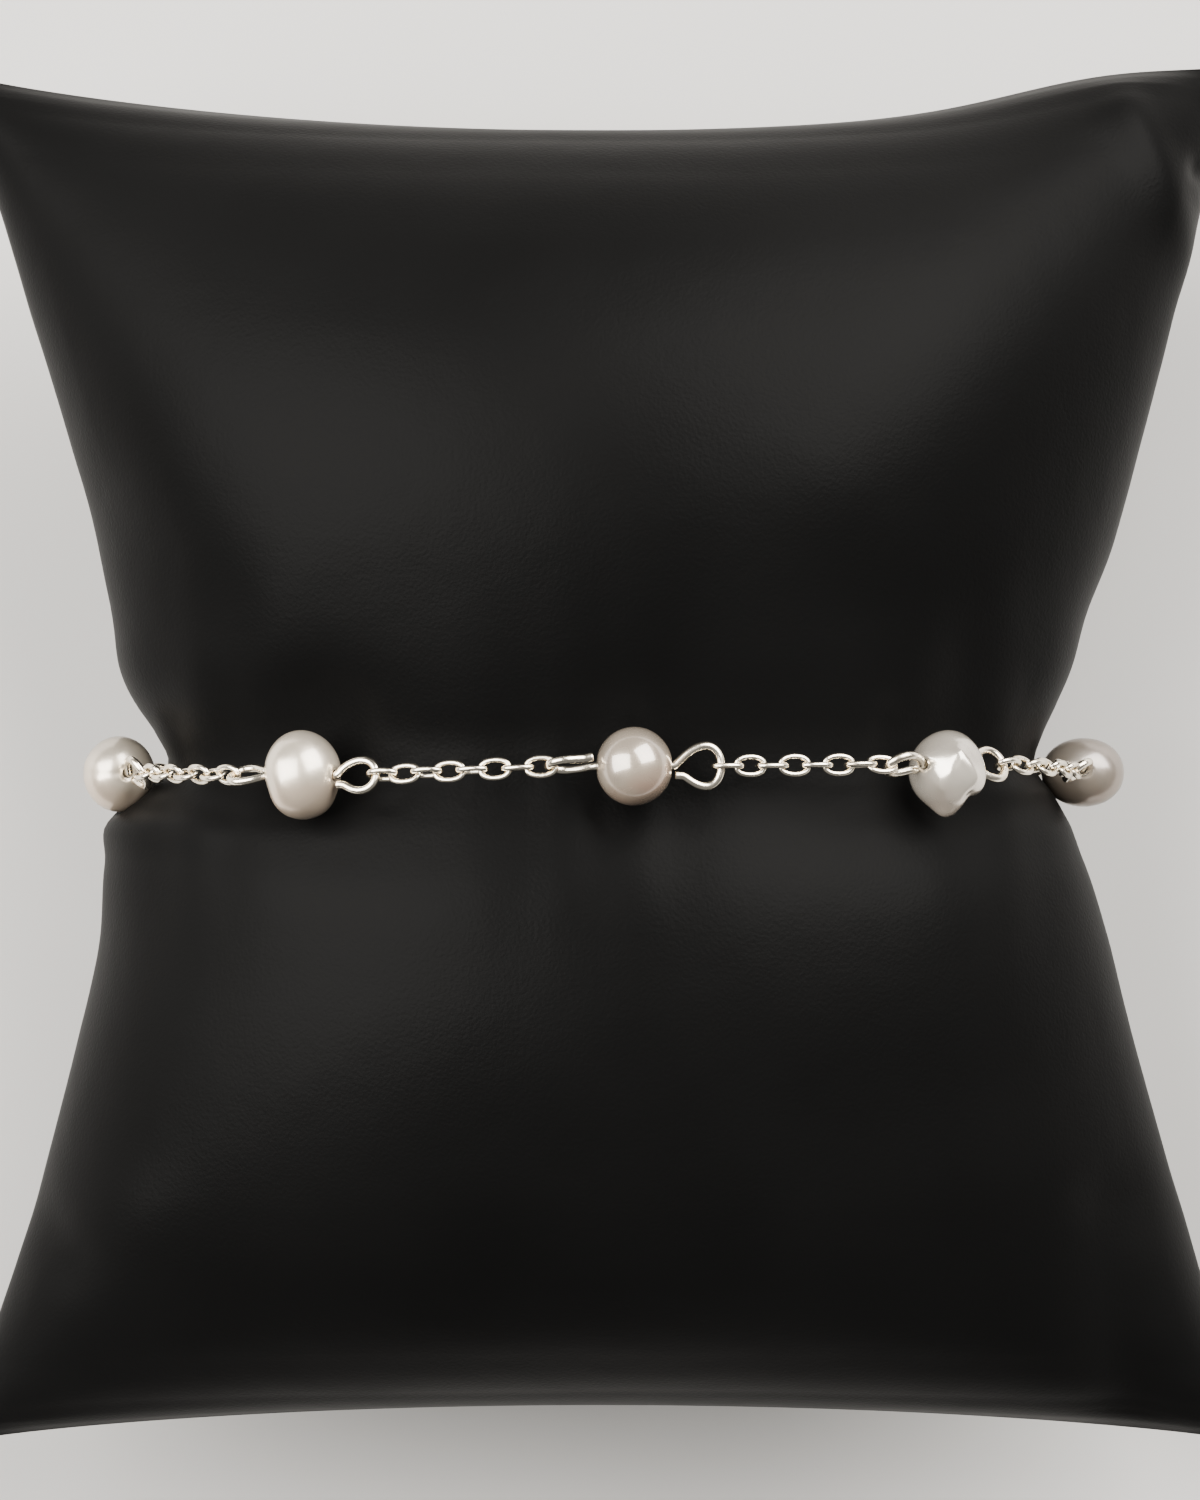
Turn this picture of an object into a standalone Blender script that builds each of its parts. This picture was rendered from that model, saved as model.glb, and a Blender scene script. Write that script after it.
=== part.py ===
"""A pearl station bracelet, fastened round the waist of a stuffed display pillow.

Units are metres and +Z is up. The pillow lies on its back on z = 0 with its front face up and
its upper edge towards +Y, and the bracelet is a closed loop in the plane y = 0.
"""

import math
from collections import namedtuple

import bmesh
import bpy
import numpy as np

# Pillow
CORNER_HALF_WIDTH = 0.050
CORNER_HALF_HEIGHT = 0.0530
EDGE_DIP = 0.0040  # how far the upper and lower edges draw in between their corners
FRONT_RISE = 0.0262  # fullest point of the front above the seam
BACK_DROP = 0.0255  # the same below the seam, before the back flattens on the table
BACK_FLATTENED = 0.0020  # how much of it the table presses flat
HEM_HALF_THICKNESS = 0.0009

# Bracelet
PEARL_SIZE = 0.0057
PIN_WIRE = 0.00058
LOOP_LENGTH = 0.0034
LOOP_WIDTH = 0.0030
LINK_WIRE = 0.00040
LINK_PITCH = 0.00164
LINK_BITE = 0.6  # distance between two linked wires, as a share of the wire: below 1 they join

# Clearances
SEAT_GAP = 0.0003  # between the pillow and what lies on it
LINK_PLAY = 0.00036  # across a pin's wire inside a link
HOOK_GAP = 0.00015  # between a loop and the link that hangs in it
BORE_GAP = 0.00012  # round the wire inside a pearl
MOUTH_GAP = 0.00015  # between a pearl and the start of a loop

# Clasp, hidden behind the pillow
CLASP_LENGTH = 0.0066
CLASP_WIDTH = 0.0030
CLASP_THICKNESS = 0.0018
CLASP_EYE = 0.0026
CLASP_EYE_SINK = 0.0006

# How finely the round shapes are faceted
PILLOW_SIDES = 32
PEARL_SIDES = 14
PEARL_RINGS = 10
LINK_SIDES = 10
LINK_WIRE_SIDES = 5
LOOP_POINTS = 14
CLASP_SIDES = 10

PillowSection = namedtuple("PillowSection", "up half_width front back fullness")
# Each length is a share of the pillow's named size: up of the corner half height, half_width of
# the corner half width, front of the rise and back of the drop. Fullness is the exponent of the
# section's outline: 0.5 is an ellipse, and more is sharper at the side seams.
PILLOW_SECTIONS = [
    PillowSection(0.000, 0.676, 0.897, 0.800, 0.50),
    PillowSection(0.045, 0.684, 0.902, 0.807, 0.50),
    PillowSection(0.090, 0.706, 0.925, 0.850, 0.50),
    PillowSection(0.150, 0.737, 0.955, 0.915, 0.51),
    PillowSection(0.240, 0.765, 0.985, 0.975, 0.53),
    PillowSection(0.360, 0.795, 1.000, 1.000, 0.55),
    PillowSection(0.500, 0.834, 0.965, 0.965, 0.58),
    PillowSection(0.640, 0.876, 0.875, 0.880, 0.62),
    PillowSection(0.770, 0.917, 0.725, 0.740, 0.67),
    PillowSection(0.870, 0.951, 0.545, 0.560, 0.72),
    PillowSection(0.945, 0.979, 0.335, 0.345, 0.76),
    PillowSection(0.985, 0.995, 0.145, 0.150, 0.80),
    PillowSection(1.000, 1.000, 0.000, 0.000, 0.80),
]

PearlRow = namedtuple("PearlRow", "name place rise turn along tall deep drop")
# place is where the pearl sits on the loop, as a share of its length from the middle of the front
# to the right. The other lengths are shares of PEARL_SIZE: rise is how far the wire lies above
# the waist's line, along is the pearl's size along the wire, tall along Y, and deep away from the
# pillow, and drop is how far the pearl's middle lies below the wire. turn, in degrees, brings the
# wire's leading end in towards the pillow.
PEARLS = [
    PearlRow("pearl_1", -0.240, -0.05, 9, 0.98, 1.02, 0.96, 0.02),
    PearlRow("pearl_2", -0.116, -0.07, 2, 0.98, 1.14, 1.05, 0.00),
    PearlRow("pearl_3", 0.0123, 0.05, 0, 0.98, 1.00, 1.00, 0.00),
    PearlRow("pearl_4", 0.1375, 0.07, 6, 0.86, 1.02, 1.12, 0.09),
    PearlRow("pearl_5", 0.2615, -0.02, -4, 0.98, 0.93, 1.12, 0.03),
]

Lump = namedtuple("Lump", "pearl along tall deep height spread")
# A swelling or, where height is negative, a hollow of a baroque pearl: its direction from the
# pearl's centre, its height as a share of the radius there, and its half angle in degrees.
LUMPS = [
    Lump("pearl_1", 0.9, -0.5, 0.2, -0.060, 34),
    Lump("pearl_1", 1.0, 0.1, 0.0, -0.070, 24),
    Lump("pearl_2", -0.4, 0.7, 0.3, 0.035, 42),
    Lump("pearl_2", 0.9, 0.2, 0.1, 0.030, 30),
    Lump("pearl_2", -0.8, -0.5, 0.2, -0.055, 38),
    Lump("pearl_2", 0.9, -0.6, 0.2, -0.060, 34),
    Lump("pearl_3", -0.2, -0.9, -0.3, 0.012, 44),
    Lump("pearl_4", -0.10, -1.0, 0.15, 0.175, 22),
    Lump("pearl_4", 0.62, -0.80, 0.2, -0.085, 19),
    Lump("pearl_4", 0.90, -0.25, 0.1, 0.050, 26),
    Lump("pearl_4", -0.75, -0.60, 0.2, -0.050, 30),
    Lump("pearl_4", 0.1, 0.95, 0.2, 0.055, 36),
    Lump("pearl_4", -0.35, 0.1, 1.0, -0.035, 22),
    Lump("pearl_5", 1.0, 0.0, 0.0, -0.050, 30),
    Lump("pearl_5", -1.0, 0.0, 0.1, -0.050, 30),
    Lump("pearl_5", 0.1, 0.7, 0.7, 0.030, 30),
    Lump("pearl_5", 0.1, -0.7, 0.7, 0.025, 30),
]

LoopRow = namedtuple("LoopRow", "pearl side length width roll lean point")
# The wire loops beside each pearl. side is -1 towards the previous pearl and 1 towards the next,
# and length and width are the loop's outer ones, as shares of LOOP_LENGTH and LOOP_WIDTH. roll is
# its turn about the wire in degrees, where 0 lies flat against the pillow, and lean is how far it
# is bent in towards the pillow. point is 0 for a round loop and 1 for a teardrop.
LOOPS = [
    LoopRow("pearl_1", -1, 1.00, 0.97, 120, 16, 0.7),
    LoopRow("pearl_1", 1, 0.97, 1.00, 32, 5, 0.7),
    LoopRow("pearl_2", -1, 1.00, 0.97, 115, 5, 0.8),
    LoopRow("pearl_2", 1, 1.00, 0.97, -15, 3, 0.5),
    LoopRow("pearl_3", -1, 1.06, 1.00, 75, 3, 0.9),
    LoopRow("pearl_3", 1, 1.09, 1.20, 0, 3, 1.0),
    LoopRow("pearl_4", -1, 1.03, 0.97, 55, 0, 0.6),
    LoopRow("pearl_4", 1, 1.06, 1.03, -30, 2, 0.6),
    LoopRow("pearl_5", -1, 0.91, 0.93, 53, 20, 0.7),
    LoopRow("pearl_5", 1, 1.00, 0.97, -37, 16, 0.7),
]

ChainRow = namedtuple("ChainRow", "name start end first_roll last_roll")
# Each chain runs from one named piece to the next. The rolls are those of its first and last
# link, in degrees as for the loops, and the links between are turned by about 90 from each other.
CHAINS = [
    ChainRow("chain_1", "pearl_1", "pearl_2", 122, 25),
    ChainRow("chain_2", "pearl_2", "pearl_3", 62, -5),
    ChainRow("chain_3", "pearl_3", "pearl_4", 90, -35),
    ChainRow("chain_4", "pearl_4", "pearl_5", 57, -37),
    ChainRow("chain_5", "pearl_5", "clasp", 53, 90),
    ChainRow("chain_6", "clasp", "pearl_1", 90, 30),
]

Finish = namedtuple("Finish", "color roughness metallic")
FINISHES = {
    "pearl": Finish((0.84, 0.81, 0.78), 0.22, 0.0),
    "silver": Finish((0.86, 0.84, 0.80), 0.25, 1.0),
    "cover": Finish((0.016, 0.016, 0.017), 0.55, 0.0),
}

# Sizes that follow from those above
SEAM_HEIGHT = BACK_DROP - BACK_FLATTENED
LINK_WIDTH = PIN_WIRE + LINK_PLAY + 2 * LINK_WIRE

# The route of the bracelet: an ellipse round the pillow's waist, with its own half axis at the
# front and at the back. Pearls touch the pillow in front and at the sides, and behind it the
# links and the clasp.
WAIST = PILLOW_SECTIONS[0]
PEARL_SEAT = PEARL_SIZE * max(pearl.deep for pearl in PEARLS) / 2 + SEAT_GAP
BACK_SEAT = max(LINK_WIDTH, CLASP_THICKNESS) / 2 + SEAT_GAP
ROUTE_HALF_WIDTH = WAIST.half_width * CORNER_HALF_WIDTH + PEARL_SEAT
ROUTE_FRONT = WAIST.front * FRONT_RISE + PEARL_SEAT
ROUTE_BACK = WAIST.back * BACK_DROP + BACK_SEAT
ROUTE_STEPS = 1440
UP = np.array([0.0, 1.0, 0.0])
STRAY_REACH = 0.010  # over which a chain comes back to the route from a straight pin's end


def clear_scene():
    for thing in list(bpy.data.objects):
        bpy.data.objects.remove(thing)


def material(name):
    finish = FINISHES[name]
    made = bpy.data.materials.get(name) or bpy.data.materials.new(name)
    made.use_nodes = True
    shader = made.node_tree.nodes["Principled BSDF"]
    shader.inputs["Base Color"].default_value = (*finish.color, 1)
    shader.inputs["Roughness"].default_value = finish.roughness
    shader.inputs["Metallic"].default_value = finish.metallic
    return made


def add_object(name, data, finish):
    thing = bpy.data.objects.new(name, data)
    data.materials.append(material(finish))
    bpy.context.scene.collection.objects.link(thing)
    return thing


def lofted_mesh(name, groups):
    """A mesh of one or more closed shells. A group is (rings, ring_closed): its rings are bridged
    in turn, and then the last one to the first, or both ends are capped. A cap is a strip of
    faces between the ring's first half and its second, so a ring's edge may curve."""
    shape = bmesh.new()
    for rings, ring_closed in groups:
        rows = [[shape.verts.new(point) for point in ring] for ring in rings]
        pairs = list(zip(rows, rows[1:]))
        if ring_closed:
            pairs.append((rows[-1], rows[0]))
        else:
            for row in (rows[0], rows[-1]):
                for i in range(len(row) // 2 - 1):
                    shape.faces.new((row[i], row[i + 1], row[-2 - i], row[-1 - i]))
        for one, other in pairs:
            count = len(one)
            for i in range(count):
                j = (i + 1) % count
                shape.faces.new((one[i], one[j], other[j], other[i]))
    bmesh.ops.recalc_face_normals(shape, faces=shape.faces)
    mesh = bpy.data.meshes.new(name)
    shape.to_mesh(mesh)
    shape.free()
    mesh.shade_smooth()
    mesh.set_sharp_from_angle(angle=math.radians(50))
    return mesh


def ring_tube(centres, radius, sides, turn=0.0):
    """The rings of a closed wire ring: the cross sections round its closed line of centres."""
    count = len(centres)
    middle = np.mean(centres, axis=0)
    rings = []
    for i, centre in enumerate(centres):
        ahead = centres[(i + 1) % count] - centres[i - 1]
        ahead /= np.linalg.norm(ahead)
        inward = middle - centre
        inward -= ahead * inward.dot(ahead)
        inward /= np.linalg.norm(inward)
        across = np.cross(ahead, inward)
        angles = turn + np.arange(sides) * 2 * math.pi / sides
        rings.append([centre + radius * (math.cos(a) * inward + math.sin(a) * across) for a in angles])
    return rings


class Route:
    """The closed route of the bracelet, measured by length from the middle of the front."""

    def __init__(self):
        angle = np.linspace(0, 2 * math.pi, ROUTE_STEPS + 1)
        depth = np.where(np.cos(angle) >= 0, ROUTE_FRONT, ROUTE_BACK)
        across = ROUTE_HALF_WIDTH * np.sin(angle)
        height = SEAM_HEIGHT + depth * np.cos(angle)
        steps = np.hypot(np.diff(across), np.diff(height))
        self.lengths = np.concatenate([[0], np.cumsum(steps)])
        self.length = self.lengths[-1]
        places = [pearl.place * self.length for pearl in PEARLS]
        rises = [pearl.rise * PEARL_SIZE for pearl in PEARLS]
        rise = np.interp(self.lengths, places, rises, period=self.length)
        self.points = np.stack([across, rise, height], axis=1)

    def point(self, place):
        place = place % self.length
        return np.array([np.interp(place, self.lengths, self.points[:, i]) for i in range(3)])

    def frame(self, place, turn=0.0):
        """The route's own directions there: ahead along it, up along Y, and out of the pillow.
        The turn, in degrees, brings the one ahead in towards the pillow."""
        ahead = self.point(place + 1e-4) - self.point(place - 1e-4)
        ahead[1] = 0
        ahead /= np.linalg.norm(ahead)
        return turned_in((ahead, UP, np.cross(ahead, UP)), turn)


def turned_in(frame, degrees):
    ahead, up, out = frame
    turn = math.radians(degrees)
    return (
        math.cos(turn) * ahead - math.sin(turn) * out,
        up,
        math.cos(turn) * out + math.sin(turn) * ahead,
    )


def side_direction(frame, roll):
    ahead, up, out = frame
    return math.cos(math.radians(roll)) * up + math.sin(math.radians(roll)) * out


def make_pillow():
    """Ellipse-like sections from the lower edge to the upper one, with a flat hem at each."""
    lower = PILLOW_SECTIONS[:0:-1]
    rows = [row._replace(up=-row.up) for row in lower] + PILLOW_SECTIONS
    rings = []
    for row in rows:
        half_width = row.half_width * CORNER_HALF_WIDTH
        front = row.front * FRONT_RISE + HEM_HALF_THICKNESS * (1 - row.front)
        back = row.back * BACK_DROP + HEM_HALF_THICKNESS * (1 - row.back)
        dip = EDGE_DIP * math.copysign(row.up**4, row.up)
        ring = []
        for i in range(PILLOW_SIDES):
            angle = 2 * math.pi * (i + 0.5) / PILLOW_SIDES
            share = math.cos(angle)
            rise = (1 - share**2) ** row.fullness
            height = SEAM_HEIGHT + (front * rise if math.sin(angle) > 0 else -back * rise)
            along = row.up * CORNER_HALF_HEIGHT - dip * (1 - share**2)
            ring.append((half_width * share, along, max(height, 0.0)))
        rings.append(ring)
    add_object("pillow", lofted_mesh("pillow", [(rings, False)]), "cover")


def lumpiness(name, direction):
    """How much a baroque pearl is swollen in a direction, as a factor of its plain radius."""
    factor = 1.0
    for lump in (lump for lump in LUMPS if lump.pearl == name):
        towards = np.array([lump.along, lump.tall, lump.deep])
        cosine = direction.dot(towards) / np.linalg.norm(towards)
        angle = math.degrees(math.acos(max(-1.0, min(1.0, cosine))))
        factor += lump.height * math.exp(-((angle / lump.spread) ** 2))
    return factor


def make_pearl(pearl, route):
    """Rings round the wire from one drill hole's rim to the other's. The last ring is bridged to
    the first, which is the bore's wall."""
    ahead, up, out = route.frame(pearl.place * route.length, pearl.turn)
    centre = route.point(pearl.place * route.length)
    bore = PIN_WIRE / 2 + BORE_GAP
    half = PEARL_SIZE * np.array([pearl.along, pearl.tall, pearl.deep]) / 2
    rim = math.asin(2 * bore / (half[1] + half[2]))
    rings = []
    for j in range(PEARL_RINGS):
        polar = rim + (math.pi - 2 * rim) * j / (PEARL_RINGS - 1)
        ring = []
        for i in range(PEARL_SIDES):
            around = 2 * math.pi * i / PEARL_SIDES
            side = np.array([0, math.cos(around), math.sin(around)])
            direction = np.array([math.cos(polar), 0, 0]) + math.sin(polar) * side
            local = direction * half * lumpiness(pearl.name, direction)
            local[1] -= pearl.drop * PEARL_SIZE
            if j in (0, PEARL_RINGS - 1):
                local[1:] = bore * side[1:]
            ring.append(centre + local[0] * ahead + local[1] * up + local[2] * out)
        rings.append(ring)
    add_object(pearl.name, lofted_mesh(pearl.name, [(rings, True)]), "pearl")


def loop_frame(route, pearl, loop):
    """Where a loop starts beside its pearl, and its own directions: away from the pearl, up along
    Y, and out of the pillow."""
    place = pearl.place * route.length
    ahead, up, out = route.frame(place, pearl.turn)
    away = loop.side * ahead
    mouth = route.point(place) + (pearl.along * PEARL_SIZE / 2 + MOUTH_GAP) * away
    return mouth, turned_in((away, up, out), loop.lean)


def loop_reach(loop):
    """From where a loop starts to the middle of its wire at the far end."""
    return loop.length * LOOP_LENGTH - PIN_WIRE / 2


def loop_line(loop):
    """The wire's centres round one loop, in the plane of the loop: (away from the pearl, aside).
    The line starts at the drill hole and comes back beside it, to a cut end near the pearl."""
    half_width = (loop.width * LOOP_WIDTH - PIN_WIRE) / 2
    turns = np.linspace(0, 2 * math.pi, 361)
    swing = np.sin(turns) * np.sin(turns / 2) ** loop.point
    swing *= half_width / swing.max()
    reach = loop_reach(loop) * (1 - np.cos(turns)) / 2
    cut_aside = PIN_WIRE + 2 * HOOK_GAP
    tail = np.where((turns > 1.5 * math.pi) & (swing <= -cut_aside))[0][-1]
    picked = np.linspace(20, tail, LOOP_POINTS).round().astype(int)
    line = [(0.0, 0.0)] + [(reach[i], swing[i]) for i in picked]
    line.append((HOOK_GAP, -cut_aside - HOOK_GAP))
    return line


def make_pin(name, pearl, loops, route):
    """One wire: a loop, the shaft through the pearl, and the other loop."""
    line = []
    for loop in loops:
        mouth, frame = loop_frame(route, pearl, loop)
        aside = side_direction(frame, loop.roll)
        points = [mouth + x * frame[0] + y * aside for x, y in loop_line(loop)]
        line += points[::-1] if loop.side < 0 else points
    curve = bpy.data.curves.new(name, "CURVE")
    curve.dimensions = "3D"
    curve.bevel_depth = PIN_WIRE / 2
    curve.bevel_resolution = 1
    curve.use_fill_caps = True
    spline = curve.splines.new("POLY")
    spline.points.add(len(line) - 1)
    for point, place in zip(spline.points, line):
        point.co = (*place, 1)
    add_object(name, curve, "silver")


def link_rings(start, end, roll):
    """One oval link between two points on its axis, which are the middles of its end wires."""
    axis = end - start
    half_length = np.linalg.norm(axis) / 2
    axis /= 2 * half_length
    aside = side_direction((axis, UP, np.cross(axis, UP)), roll)
    half_width = (LINK_WIDTH - LINK_WIRE) / 2
    centres = []
    for i in range(LINK_SIDES):
        angle = 2 * math.pi * i / LINK_SIDES
        x = half_length * math.cos(angle)
        y = half_width * math.copysign(abs(math.sin(angle)) ** 0.8, math.sin(angle))
        centres.append((start + end) / 2 + x * axis + y * aside)
    return ring_tube(centres, LINK_WIRE / 2, LINK_WIRE_SIDES)


def chain_route(route, start, end):
    """Points from inside the first piece's loop to inside the last one's. Each end is (place on
    the route, its real point, wire radius, direction ahead). A straight pin's end lies a little
    off the route, and the chain comes back to it within a short reach."""
    places = np.linspace(start.place, end.place, 161)
    points = np.array([route.point(place) for place in places])
    for tip, travel in ((start, places - start.place), (end, end.place - places)):
        stray = tip.point - route.point(tip.place)
        fade = np.clip(1 - travel / STRAY_REACH, 0, 1) ** 2
        points += fade[:, None] * stray
    inner = [tip.radius + LINK_WIRE / 2 + HOOK_GAP for tip in (start, end)]
    first = start.point - start.ahead * inner[0]
    last = end.point + end.ahead * inner[1]
    return np.vstack([first, points, last])


def make_chain(row, route, start, end):
    """Oval links that hold each other, joined at the points where they touch."""
    points = chain_route(route, start, end)
    lengths = np.concatenate([[0], np.cumsum(np.linalg.norm(np.diff(points, axis=0), axis=1))])
    bite = LINK_BITE * LINK_WIRE
    count = max(2, round((lengths[-1] - bite) / LINK_PITCH))
    pitch = (lengths[-1] - bite) / count
    turned = row.last_roll - row.first_roll - 90 * (count - 1)
    spare = (turned + 90) % 180 - 90
    groups = ([], [])
    for i in range(count):
        ends = [
            np.array([np.interp(place, lengths, points[:, k]) for k in range(3)])
            for place in (i * pitch, (i + 1) * pitch + bite)
        ]
        roll = row.first_roll + 90 * i + spare * i / (count - 1)
        groups[i % 2].append((link_rings(*ends, roll), True))
    chain = add_object(row.name, lofted_mesh(row.name, groups[0]), "silver")
    others = add_object(row.name + "_others", lofted_mesh(row.name + "_others", groups[1]), "silver")
    others.hide_render = True
    others.display_type = "WIRE"
    join = chain.modifiers.new("join_links", "BOOLEAN")
    join.operation = "UNION"
    join.object = others


def make_clasp(route, place):
    """A plain oval body with an eye at each end, joined into one piece."""
    ahead, up, out = route.frame(place)
    centre = route.point(place)
    rings = []
    for j in range(1, CLASP_SIDES - 1):
        polar = math.pi * j / (CLASP_SIDES - 1)
        ring = []
        for i in range(CLASP_SIDES):
            around = 2 * math.pi * i / CLASP_SIDES
            y = CLASP_WIDTH / 2 * math.sin(polar) * math.cos(around)
            z = CLASP_THICKNESS / 2 * math.sin(polar) * math.sin(around)
            ring.append(centre - CLASP_LENGTH / 2 * math.cos(polar) * ahead + y * up + z * out)
        rings.append(ring)
    clasp = add_object("clasp", lofted_mesh("clasp", [(rings, False)]), "silver")
    radius = (CLASP_EYE - PIN_WIRE) / 2
    eyes = []
    for side in (-1, 1):
        middle = centre + side * ahead * clasp_eye_place()
        angles = [2 * math.pi * i / CLASP_SIDES for i in range(CLASP_SIDES)]
        centres = [middle + radius * (math.cos(a) * ahead + math.sin(a) * up) for a in angles]
        eyes.append((ring_tube(centres, PIN_WIRE / 2, LINK_WIRE_SIDES + 1), True))
    pair = add_object("clasp_eyes", lofted_mesh("clasp_eyes", eyes), "silver")
    pair.hide_render = True
    pair.display_type = "WIRE"
    join = clasp.modifiers.new("join_eyes", "BOOLEAN")
    join.operation = "UNION"
    join.object = pair


def clasp_eye_place():
    return CLASP_LENGTH / 2 + CLASP_EYE / 2 - CLASP_EYE_SINK


Tip = namedtuple("Tip", "place point radius ahead")


def chain_tips(route, clasp_place):
    """Where a chain can start and end: the two far ends of each pin and of the clasp."""
    tips = {}
    for pearl in PEARLS:
        for loop in (loop for loop in LOOPS if loop.pearl == pearl.name):
            mouth, frame = loop_frame(route, pearl, loop)
            reach = pearl.along * PEARL_SIZE / 2 + MOUTH_GAP + loop_reach(loop)
            place = pearl.place * route.length + loop.side * reach
            point = mouth + loop_reach(loop) * frame[0]
            tips[pearl.name, loop.side] = Tip(place, point, PIN_WIRE / 2, loop.side * frame[0])
    ahead = route.frame(clasp_place)[0]
    for side in (-1, 1):
        reach = side * (clasp_eye_place() + (CLASP_EYE - PIN_WIRE) / 2)
        point = route.point(clasp_place) + reach * ahead
        tips["clasp", side] = Tip(clasp_place + reach, point, PIN_WIRE / 2, ahead)
    return tips


def main():
    clear_scene()
    route = Route()
    make_pillow()
    for number, pearl in enumerate(PEARLS, 1):
        make_pearl(pearl, route)
        loops = [loop for loop in LOOPS if loop.pearl == pearl.name]
        make_pin(f"pin_{number}", pearl, loops, route)
    clasp_place = route.length / 2
    make_clasp(route, clasp_place)
    tips = chain_tips(route, clasp_place)
    for row in CHAINS:
        start, end = tips[row.start, 1], tips[row.end, -1]
        if end.place < start.place:
            end = end._replace(place=end.place + route.length)
        make_chain(row, route, start, end)


main()
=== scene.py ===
import math

import bpy
import numpy as np
from mathutils import Matrix


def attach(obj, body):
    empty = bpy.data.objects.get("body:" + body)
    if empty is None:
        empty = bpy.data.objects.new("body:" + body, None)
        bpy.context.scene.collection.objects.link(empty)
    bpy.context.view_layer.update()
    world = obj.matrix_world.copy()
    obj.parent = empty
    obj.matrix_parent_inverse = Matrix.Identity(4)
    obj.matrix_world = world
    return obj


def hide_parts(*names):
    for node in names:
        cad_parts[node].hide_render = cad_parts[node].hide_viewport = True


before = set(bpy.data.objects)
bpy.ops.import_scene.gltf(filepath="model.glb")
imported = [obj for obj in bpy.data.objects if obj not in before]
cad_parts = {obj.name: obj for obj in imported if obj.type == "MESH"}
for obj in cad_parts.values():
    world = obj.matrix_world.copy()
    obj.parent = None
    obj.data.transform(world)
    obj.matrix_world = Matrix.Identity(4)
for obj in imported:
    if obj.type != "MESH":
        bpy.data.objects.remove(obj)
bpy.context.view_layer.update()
mm = 0.001
upward = np.array([0.0, 1.0, 0.0])
print("frame:", len(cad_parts), "nodes")


def surfaceObject(name, grids, wrapRows=False, ends=None, sharp=50):
    # One mesh from grids of points (pieces, rows, columns, 3): each face joins a point to the next
    # column and the next row. Columns wrap round, and rows may. The first and last row may be closed,
    # by a polygon or by strips that join each of its points to the one mirrored across the row.
    grids = np.asarray(grids, float)
    grids = grids[None] if grids.ndim == 3 else grids
    index = np.arange(grids[..., 0].size).reshape(grids.shape[:3])
    nextColumn = np.roll(index, -1, axis=2)
    quads = np.stack([index, nextColumn, np.roll(nextColumn, -1, axis=1), np.roll(index, -1, axis=1)], -1)
    quads = quads if wrapRows else quads[:, :-1]
    faces = quads.reshape(-1, 4).tolist()
    if ends == "polygons":
        faces += index[:, 0, ::-1].tolist() + index[:, -1].tolist()
    if ends == "strips":
        rings = np.stack([index[:, 0], index[:, -1, ::-1]], 1)
        strips = np.stack([rings[..., :-1], rings[..., :0:-1], rings[..., -2::-1], rings[..., 1:]], -1)
        faces += strips[:, :, : rings.shape[2] // 2 - 1].reshape(-1, 4).tolist()
    mesh = bpy.data.meshes.new(name)
    mesh.from_pydata(grids.reshape(-1, 3).tolist(), [], faces)
    return finishedObject(name, mesh, sharp)


def finishedObject(name, mesh, sharp=50):
    # Faces are turned outwards: the sum of the tetrahedra from the middle to each face is positive.
    mesh.update()
    mesh.calc_loop_triangles()
    points = np.empty(len(mesh.vertices) * 3)
    mesh.vertices.foreach_get("co", points)
    corners = np.empty(len(mesh.loop_triangles) * 3, np.int32)
    mesh.loop_triangles.foreach_get("vertices", corners)
    a, b, c = (points.reshape(-1, 3) - points.reshape(-1, 3).mean(0))[corners.reshape(-1, 3)].swapaxes(0, 1)
    if np.einsum("ij,ij->", a, np.cross(b, c)) < 0:
        mesh.flip_normals()
    mesh.shade_smooth()
    mesh.set_sharp_from_angle(angle=math.radians(sharp))
    made = bpy.data.objects.new(name, mesh)
    bpy.context.scene.collection.objects.link(made)
    return made


def unit(vectors):
    return vectors / np.linalg.norm(vectors, axis=-1, keepdims=True)


def smoothedLine(points, reach):
    # A running bell-shaped average of the points, over this many of them to each side.
    kernel = np.exp(-np.linspace(-2, 2, 2 * reach + 1) ** 2)
    padded = np.pad(points, ((reach, reach), (0, 0)), "edge")
    columns = [np.convolve(padded[:, k], kernel / kernel.sum(), "valid") for k in range(3)]
    return np.stack(columns, -1)


def ripple(directions, scale, seed, waves=22):
    # Soft noise on directions or places: the mean of plane waves in random directions.
    random = np.random.default_rng(seed)
    headings = unit(random.normal(size=(waves, 3))) * scale * random.uniform(0.5, 1.6, (waves, 1))
    phases = random.uniform(0, 2 * math.pi, waves)
    return math.sqrt(2) * np.sin(directions @ headings.T + phases).mean(-1)


# Materials

def newMaterial(name, color, roughness, metallic=0.0):
    made = bpy.data.materials.new(name)
    made.use_nodes = True
    shader = made.node_tree.nodes["Principled BSDF"]
    shader.inputs["Base Color"].default_value = (*color, 1)
    shader.inputs["Roughness"].default_value = roughness
    shader.inputs["Metallic"].default_value = metallic
    return made, shader


def addNode(material, kind, **values):
    node = material.node_tree.nodes.new(kind)
    for key, value in values.items():
        if key in node.inputs:
            node.inputs[key].default_value = value
        else:
            setattr(node, key, value)
    return node


def join(material, output, *inputs):
    for one in inputs:
        material.node_tree.links.new(output, one)


def noiseOn(material, scale, detail=3.0, rough=0.5, distortion=0.0):
    place = addNode(material, "ShaderNodeTexCoord")
    noise = addNode(material, "ShaderNodeTexNoise", Scale=scale, Detail=detail, Roughness=rough)
    noise.inputs["Distortion"].default_value = distortion
    join(material, place.outputs["Object"], noise.inputs["Vector"])
    return noise


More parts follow.
